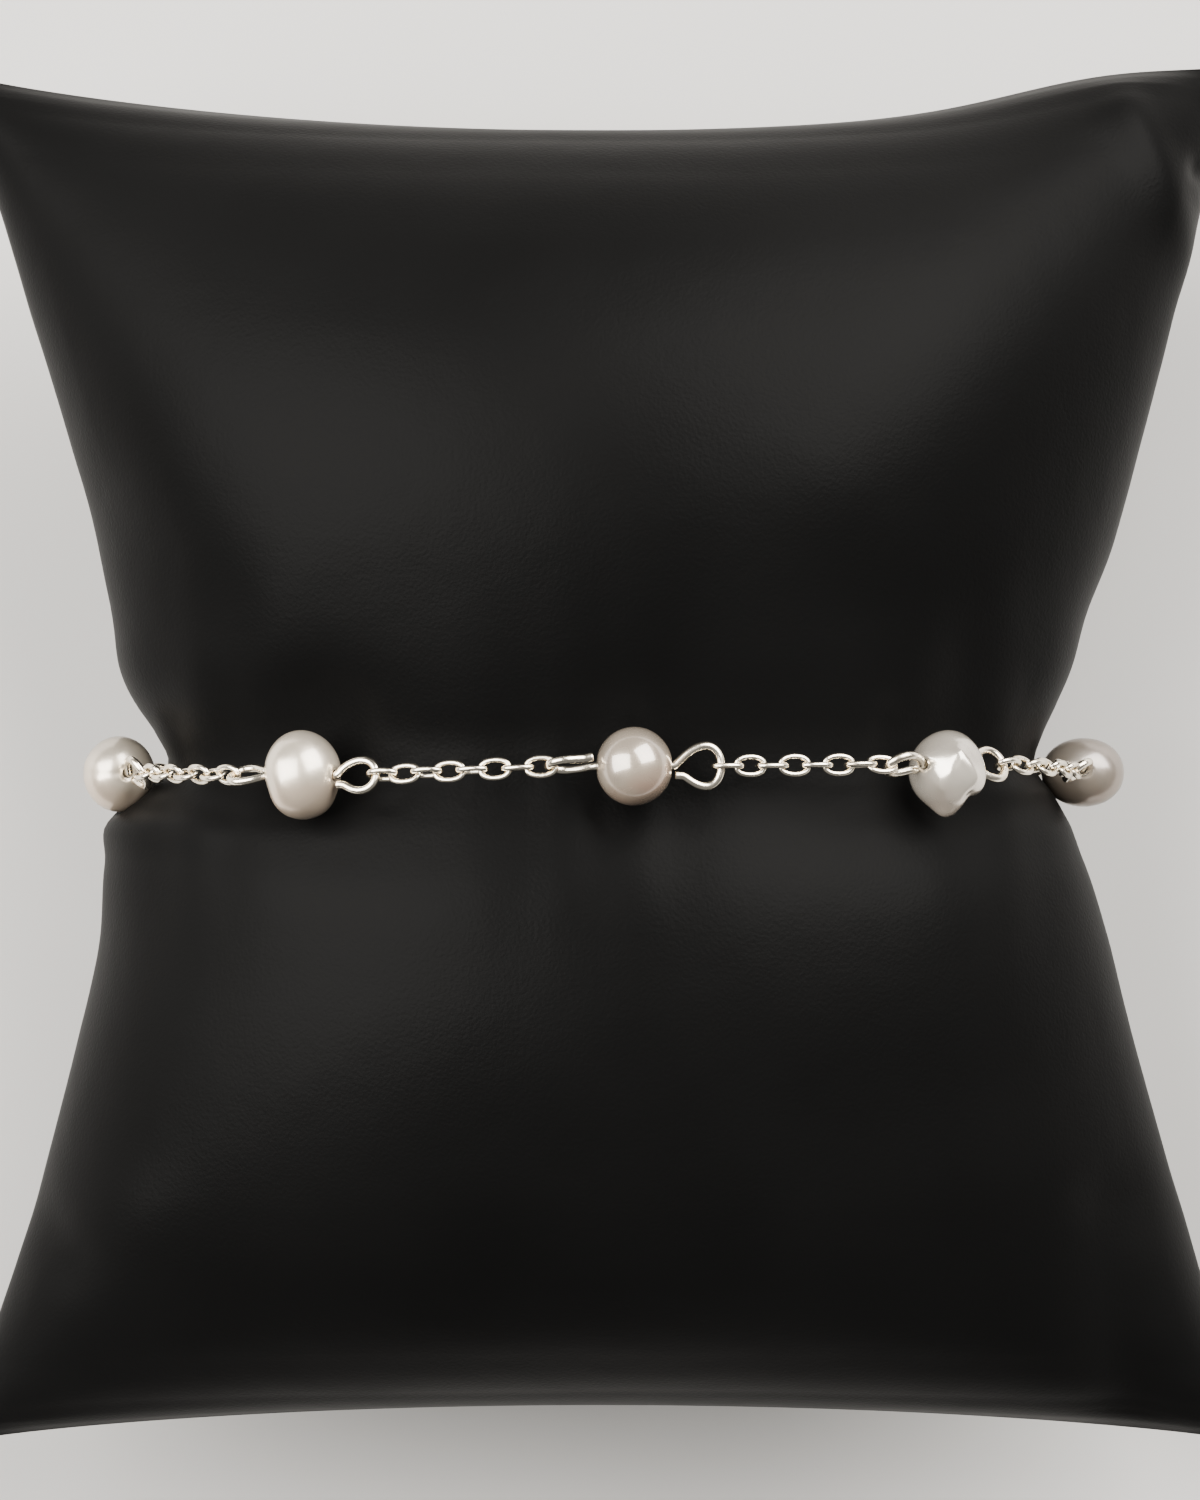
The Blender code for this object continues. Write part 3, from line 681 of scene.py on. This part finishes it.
pillow = {
    "halfWidth": 50.0 * mm, "upperHalfHeight": 53.9 * mm, "lowerHalfHeight": 52.2 * mm,
    # how far the hems dip in their middle, and the upper right corner's lift: height, place, reach
    "upperDip": 4.3 * mm, "lowerDip": 2.6 * mm, "cornerLift": (1.7 * mm, 39.0 * mm, 11.0 * mm),
    "front": 26.2 * mm, "back": 25.5 * mm, "hem": 0.9 * mm, "seamHeight": 23.5 * mm,
    "rows": 300, "columns": 320, "rowCrowding": 0.94, "columnCrowding": 0.25,
    # up, half width, front, back and fullness of each section, as shares of the sizes above
    "sections": [
        (0.000, 0.676, 0.897, 0.800, 0.50), (0.045, 0.684, 0.902, 0.807, 0.50),
        (0.090, 0.706, 0.925, 0.850, 0.50), (0.150, 0.737, 0.955, 0.915, 0.51),
        (0.240, 0.765, 0.985, 0.975, 0.53), (0.360, 0.795, 1.000, 1.000, 0.55),
        (0.500, 0.834, 0.965, 0.965, 0.58), (0.640, 0.876, 0.875, 0.880, 0.62),
        (0.770, 0.917, 0.725, 0.740, 0.67), (0.870, 0.951, 0.545, 0.560, 0.72),
        (0.945, 0.979, 0.335, 0.345, 0.76), (0.985, 0.995, 0.145, 0.150, 0.80),
        (1.000, 1.000, 0.000, 0.000, 0.80),
    ],
    # how far the left and right sides stand out past the sections, at some heights, all in mm
    "sides": [
        (-50.0, 1.0, 1.5), (-36.0, 0.9, 1.7), (-20.0, 0.85, 1.3), (-12.6, 0.9, 1.1), (-7.0, 2.2, 1.0),
        (-3.9, 3.5, 1.3), (-1.6, 1.6, 0.9), (0.0, 0.0, 0.0), (2.5, 0.2, 0.0), (6.0, 0.8, -0.1),
        (11.0, 0.2, -0.3), (17.0, 0.1, 0.6), (25.0, 0.4, 0.95), (37.0, 0.8, 1.0), (50.0, 0.8, 0.8),
    ],
    "uneven": 0.30 * mm, "unevenScale": 190.0,
    # depth, breadth and, for the puckers, closeness of what the side seams do to the cover
    "seamGroove": 0.28 * mm, "grooveReach": 0.35 * mm,
    "seamPucker": 0.10 * mm, "puckerReach": 1.8 * mm, "puckerScale": 900.0,
    # the gathers at the waist: depth, distance, how far up and down, and how unevenly set
    "gather": 0.22 * mm, "gatherLength": 8.5 * mm, "gatherReach": 11 * mm, "gatherDrift": (0.35, 5 * mm),
    "waistReach": 6 * mm, "hemShare": 0.03, "clearance": 0.25 * mm,
}
# Soft ridges (a height above nought) and valleys on the front, as lines between two places in mm
# across and up, with the height and the half breadth in mm.
pillowFolds = [
    ((-50, 46), (-24, 14), 0.5, 8.0), ((41, 48), (18, 22), 0.75, 7.5),
    ((40, 50), (46, 38), 0.55, 1.9), ((51, 51), (51, 44), -2.0, 4.5), ((46, 46), (49, 44), -0.6, 1.1),
    ((39, -33), (41, -47), -0.8, 3.4), ((-44, -33), (-40, -37), -0.5, 2.4),
    ((-46, -46), (-36, -34), 0.6, 5.0), ((46, -46), (42, -38), 0.6, 4.0),
    ((-22, 1), (-21, 4), -0.8, 4.2), ((1, 1), (2, 4), -0.45, 4.2), ((25, 1), (28, 7), -0.9, 5.0),
    ((-30, 13), (-38, 20), -0.35, 4.0), ((-26, -9), (26, -9), 0.35, 6.0), ((6, -26), (34, -22), -0.5, 7.0),
]
pillowCloth = {
    "rows": 43, "columns": 80, "scale": 10.0, "frames": 36, "flatWidth": 105 * mm, "flatHeight": 113 * mm,
    "pinnedWaist": 1.6 * mm, "mostMove": 1.2 * mm, "rowReach": 2.2, "columnReach": 6.6,
    "settings": {
        "quality": 8, "mass": 0.05, "use_pressure": True, "uniform_pressure_force": 12.0,
        "tension_stiffness": 80, "compression_stiffness": 80, "shear_stiffness": 30,
        "tension_damping": 5, "compression_damping": 5, "shear_damping": 5,
        "bending_stiffness": 0.05, "bending_damping": 0.5, "air_damping": 1,
    },
}
pillowLook = {
    "black": (0.0024, 0.0024, 0.0024), "grey": (0.0038, 0.0038, 0.0038), "roughness": 0.43,
    "specular": 0.068, "ior": 1.28, "colorStops": (0.3, 0.7), "patchy": (-0.04, 0.05), "cloudScale": 30.0,
    "grainScale": 3600.0, "grainDepth": 0.020 * mm, "waveScale": 260.0, "waveDepth": 0.05 * mm,
}


def curveThrough(places, knots, values):
    # A smooth curve through the values at the knots: its slope at each comes from both sides of it.
    slopes = np.gradient(values, knots)
    k = np.clip(np.searchsorted(knots, places) - 1, 0, len(knots) - 2)
    step = knots[k + 1] - knots[k]
    t = (places - knots[k]) / step
    fromLeft = (1 + 2 * t) * (1 - t) ** 2 * values[k] + t * (1 - t) ** 2 * step * slopes[k]
    return fromLeft + t**2 * (3 - 2 * t) * values[k + 1] + t**2 * (t - 1) * step * slopes[k + 1]


def sectionAt(up, column):
    # A column of the section table, mirrored about the waist.
    table = np.array(pillow["sections"])
    knots = np.concatenate([-table[:0:-1, 0], table[:, 0]])
    return curveThrough(up, knots, np.concatenate([table[:0:-1, column], table[:, column]]))


def pillowSurface(up, angle):
    # Rows run from the lower hem to the upper one, columns round each section. A section's height
    # is a power of one minus the square of its share across, and the hem is rounded off. The hems
    # dip towards their middle, and the upper right corner is lifted.
    share = np.cos(angle)[None, :]
    front, back = sectionAt(up, 2), sectionAt(up, 3)
    halfHeight = np.where(up > 0, pillow["upperHalfHeight"], pillow["lowerHalfHeight"])
    past = np.clip((np.abs(up) - 1) * halfHeight / pillow["hem"] + 1, 0, 1)
    hemRound = np.sqrt(1 - 0.97 * past**2)  # a quarter circle that stops just short of closing
    front = (front * pillow["front"] + pillow["hem"] * (1 - front)) * hemRound
    back = (back * pillow["back"] + pillow["hem"] * (1 - back)) * hemRound
    rise = np.maximum(1 - share**2, 1e-9) ** sectionAt(up, 4)[:, None]
    height = np.where(np.sin(angle)[None, :] > 0, front[:, None] * rise, -back[:, None] * rise)
    heights, left, right = np.array(pillow["sides"]).T * mm
    left, right = (curveThrough(up * halfHeight, heights, side)[:, None] for side in (left, right))
    across = (sectionAt(up, 1)[:, None] * pillow["halfWidth"] + np.where(share < 0, left, right)) * share
    dip = np.where(up > 0, pillow["upperDip"], pillow["lowerDip"]) * np.sign(up) * up**4
    lift, liftAt, liftReach = pillow["cornerLift"]
    lift = lift * np.clip(up, 0, 1)[:, None] ** 6 * np.exp(-(((across - liftAt) / liftReach) ** 2))
    along = (up * halfHeight)[:, None] - dip[:, None] * (1 - share**2) + lift
    grid = np.stack([across, along, pillow["seamHeight"] + height], -1)
    grid[..., 2] = np.maximum(grid[..., 2], 0)
    return grid


def filledByCloth(up, angle):
    # How far each point moves when the cover, cut as two flat panels, is blown up as cloth. The
    # waist and the corners are held, because the bracelet and the seams hold them. The cloth is
    # simulated ten times as large, and the scene has no gravity.
    cloth = pillowCloth
    coarseUp = np.linspace(-1, 1, cloth["rows"])
    coarseAngle = (np.arange(cloth["columns"]) + 0.5) * 2 * math.pi / cloth["columns"]
    start = pillowSurface(coarseUp, coarseAngle)
    half = cloth["columns"] // 2
    steps = np.linalg.norm(np.diff(start, axis=1), axis=2)
    flat = np.zeros_like(start)
    for columns in (slice(0, half), slice(half, None)):
        lengths = np.cumsum(np.pad(steps, ((0, 0), (1, 0)))[:, columns], axis=1)
        shares = (lengths - lengths[:, :1]) / (lengths[:, -1:] - lengths[:, :1])
        across = 1 - 2 * shares if columns.start == 0 else 2 * shares - 1
        flat[:, columns, 0] = across * cloth["flatWidth"] / 2
    flat[..., 1] = coarseUp[:, None] * cloth["flatHeight"] / 2
    flat[..., 2] = pillow["seamHeight"] + np.where(np.arange(cloth["columns"]) < half, 1, -1) * pillow["hem"]

    trial = surfaceObject("pillow_cloth", start * cloth["scale"], ends="strips")
    trial.shape_key_add(name="Basis")
    flatKey = trial.shape_key_add(name="flat", from_mix=False)
    flatKey.data.foreach_set("co", (flat * cloth["scale"]).ravel())
    flatKey.value = 0
    held = np.abs(start[..., 1]) < cloth["pinnedWaist"]
    held[[0, 0, 0, 0, -1, -1, -1, -1], [0, half - 1, half, -1] * 2] = True
    pins = trial.vertex_groups.new(name="pins")
    pins.add(np.flatnonzero(held).tolist(), 1.0, "REPLACE")
    modifier = trial.modifiers.new("cloth", "CLOTH")
    for key, value in cloth["settings"].items():
        setattr(modifier.settings, key, value)
    modifier.settings.vertex_group_mass = "pins"
    modifier.settings.rest_shape_key = flatKey
    modifier.settings.effector_weights.gravity = 0
    modifier.collision_settings.use_collision = False
    modifier.point_cache.frame_start, modifier.point_cache.frame_end = 1, cloth["frames"]
    for step in range(1, cloth["frames"] + 1):
        bpy.context.scene.frame_set(step)
    filled = trial.evaluated_get(bpy.context.evaluated_depsgraph_get()).data
    points = np.empty(start.size)
    filled.vertices.foreach_get("co", points)
    move = points.reshape(start.shape) / cloth["scale"] - start
    bpy.context.scene.frame_set(1)
    bpy.data.objects.remove(trial)
    size = np.linalg.norm(move, axis=-1, keepdims=True)
    move *= np.minimum(1, cloth["mostMove"] / np.maximum(size, 1e-9))
    print("pillow's cloth moved up to", round(size.max() / mm, 2), "mm")
    rows = bellWeights(up, coarseUp, cloth["rowReach"] / cloth["rows"])
    columns = bellWeights(angle, coarseAngle, cloth["columnReach"] / cloth["columns"], 2 * math.pi)
    return np.einsum("ri,ijk,cj->rck", rows, move, columns)


def bellWeights(places, knots, width, period=None):
    # The share of each knot at each place: a bell shape of their distance, with a sum of one.
    gaps = places[:, None] - knots[None]
    if period:
        gaps = (gaps + period / 2) % period - period / 2
    weights = np.exp(-((gaps / width) ** 2))
    return weights / weights.sum(1, keepdims=True)


def fromLine(points, start, end):
    # The distance of each point (across, up) from the line between two places.
    start, line = np.array(start) * mm, (np.array(end) - np.array(start)) * mm
    share = np.clip((points - start) @ line / (line @ line), 0, 1)
    return np.linalg.norm(points - start - share[..., None] * line, axis=-1)


def pillowDetail(grid, up, angle):
    # How far the cover stands out of its plain form: folds, gathers at the waist, a general
    # unevenness, and the side seams' groove and puckers.
    onFront = np.clip(np.sin(angle) * 2.5, 0, 1)[None, :]
    fromWaist = 1 - np.exp(-((grid[..., 1] / pillow["waistReach"]) ** 2))
    rise = pillow["uneven"] * ripple(grid, pillow["unevenScale"], 7) * fromWaist
    for start, end, height, breadth in pillowFolds:
        bell = np.exp(-((fromLine(grid[..., :2], start, end) / (breadth * mm)) ** 2))
        rise += height * mm * bell * onFront * (fromWaist if height > 0 else 1)
    drift, driftLength = pillow["gatherDrift"]
    wave = grid[..., 0] / pillow["gatherLength"] + drift * np.sin(grid[..., 0] / driftLength)
    hold = np.exp(-((grid[..., 1] / pillow["gatherReach"]) ** 2))
    rise -= pillow["gather"] * (0.5 + 0.5 * np.cos(2 * math.pi * wave)) * hold
    farFromSeam = 1e3 * (np.abs(np.cos(angle)) < 0.9)
    fromSeam = np.abs(grid[..., 2] - pillow["seamHeight"]) + farFromSeam
    pucker = ripple(grid * (0.3, 1, 0.3), pillow["puckerScale"], 11)
    rise += pillow["seamPucker"] * (pucker - 1) * np.exp(-((fromSeam / pillow["puckerReach"]) ** 2))
    rise -= pillow["seamGroove"] * np.exp(-((fromSeam / pillow["grooveReach"]) ** 2))
    return rise * np.clip((1 - np.abs(up)) / pillow["hemShare"], 0, 1)[:, None]


def outwards(grid):
    alongRows = np.gradient(grid, axis=0)
    alongColumns = np.roll(grid, -1, 1) - np.roll(grid, 1, 1)
    normals = np.cross(alongColumns, alongRows)
    return normals / np.maximum(np.linalg.norm(normals, axis=-1, keepdims=True), 1e-15)


def pillowPoints():
    # Rows crowd towards the hems, and columns towards the side seams.
    widest = math.pi / 2 * pillow["rowCrowding"]
    up = np.sin(np.linspace(-1, 1, pillow["rows"]) * widest) / math.sin(widest)
    even = (np.arange(pillow["columns"]) + 0.5) * 2 * math.pi / pillow["columns"]
    angle = even - pillow["columnCrowding"] * np.sin(2 * even)
    grid = pillowSurface(up, angle)
    grid = grid + filledByCloth(up, angle)
    normals = outwards(grid)
    if (normals[..., 2] * (grid[..., 2] - pillow["seamHeight"])).sum() < 0:
        normals = -normals
    grid = grid + pillowDetail(grid, up, angle)[..., None] * normals
    # The cover gives way under each pearl, and lies flat on the floor.
    for pearl in pearls.values():
        centre = routePoint(pearl["place"] * routeLength) - [0, pearl["drop"] * pearlSize, 0]
        least = pearlSize * max(pearl["size"][1:]) / 2 + pillow["clearance"]
        away = grid - centre
        distance = np.linalg.norm(away, axis=-1, keepdims=True)
        grid = np.where(distance < least, centre + away / distance * least, grid)
    grid[..., 2] = np.maximum(grid[..., 2], 0)
    return grid


made = surfaceObject("pillow_cover", pillowPoints(), ends="strips", sharp=70)
made.data.materials.append(coverMaterial("black_leatherette", pillowLook))
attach(made, "root")
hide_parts("pillow")
print("pillow done")


# Floor, lights and camera

stage = {
    "floor": (0.45, 0.445, 0.435), "floorRoughness": 0.7, "floorSize": 3.0, "floorGap": 0.03 * mm,
    "world": (0.61, 0.61, 0.61), "worldStrength": 0.30,
    # place, size, power and tilt in degrees of each softbox
    "softboxes": {
        "left_window": ((-0.52, 0.15, 0.61), (0.84, 0.64), 25.0, 12),
        "right_window": ((0.40, 0.45, 0.53), (0.70, 0.70), 25.0, 12),
    },
    "warmth": (1.0, 0.965, 0.92),
}
photo = {"width": 1200, "height": 1500, "pixelsPerMm": 13.8, "distance": 400 * mm, "middle": (601, 770)}

floorMesh = bpy.data.meshes.new("floor")
half = stage["floorSize"] / 2
low = -stage["floorGap"]
corners = [(-half, -half, low), (half, -half, low), (half, half, low), (-half, half, low)]
floorMesh.from_pydata(corners, [], [(0, 1, 2, 3)])
floor = bpy.data.objects.new("floor", floorMesh)
bpy.context.scene.collection.objects.link(floor)
floorMaterial, floorShader = newMaterial("pale_floor", stage["floor"], stage["floorRoughness"])
patchy(floorMaterial, floorShader, noiseOn(floorMaterial, 6.0), stage["floorRoughness"], (-0.04, 0.04))
floorMesh.materials.append(floorMaterial)

world = bpy.data.worlds.new("studio")
bpy.context.scene.world = world
world.use_nodes = True
background = world.node_tree.nodes["Background"]
background.inputs["Color"].default_value = (*stage["world"], 1)
background.inputs["Strength"].default_value = stage["worldStrength"]


def softbox(name, place, size, power, tilt):
    # An area light that faces the bracelet's front, turned about the line to it by its tilt.
    light = bpy.data.lights.new(name, "AREA")
    light.shape = "RECTANGLE"
    light.size, light.size_y = size
    light.energy = power
    light.color = stage["warmth"]
    lamp = bpy.data.objects.new(name, light)
    bpy.context.scene.collection.objects.link(lamp)
    back = unit(np.array(place) - np.array([0, 0, frontPlane]))
    right = unit(np.cross(upward, back))
    above = np.cross(back, right)
    turn = math.radians(tilt)
    across = math.cos(turn) * right + math.sin(turn) * above
    along = math.cos(turn) * above - math.sin(turn) * right
    axes = np.array([across, along, back]).T.tolist()
    lamp.matrix_world = Matrix.Translation(place) @ Matrix(axes).to_4x4()


frontPlane = route["seamHeight"] + route["front"]
for name, values in stage["softboxes"].items():
    softbox(name, *values)

lens = bpy.data.cameras.new("camera")
camera = bpy.data.objects.new("camera", lens)
bpy.context.scene.collection.objects.link(camera)
lens.sensor_fit = "HORIZONTAL"
lens.sensor_width = 36
lens.lens = 36 * photo["pixelsPerMm"] * photo["distance"] / mm / photo["width"]
camera.location = (
    (photo["width"] / 2 - photo["middle"][0]) / photo["pixelsPerMm"] * mm,
    (photo["middle"][1] - photo["height"] / 2) / photo["pixelsPerMm"] * mm,
    frontPlane + photo["distance"],
)
lens.clip_start, lens.clip_end = 0.01, 20
bpy.context.scene.camera = camera
print("camera at", [round(v, 4) for v in camera.location])
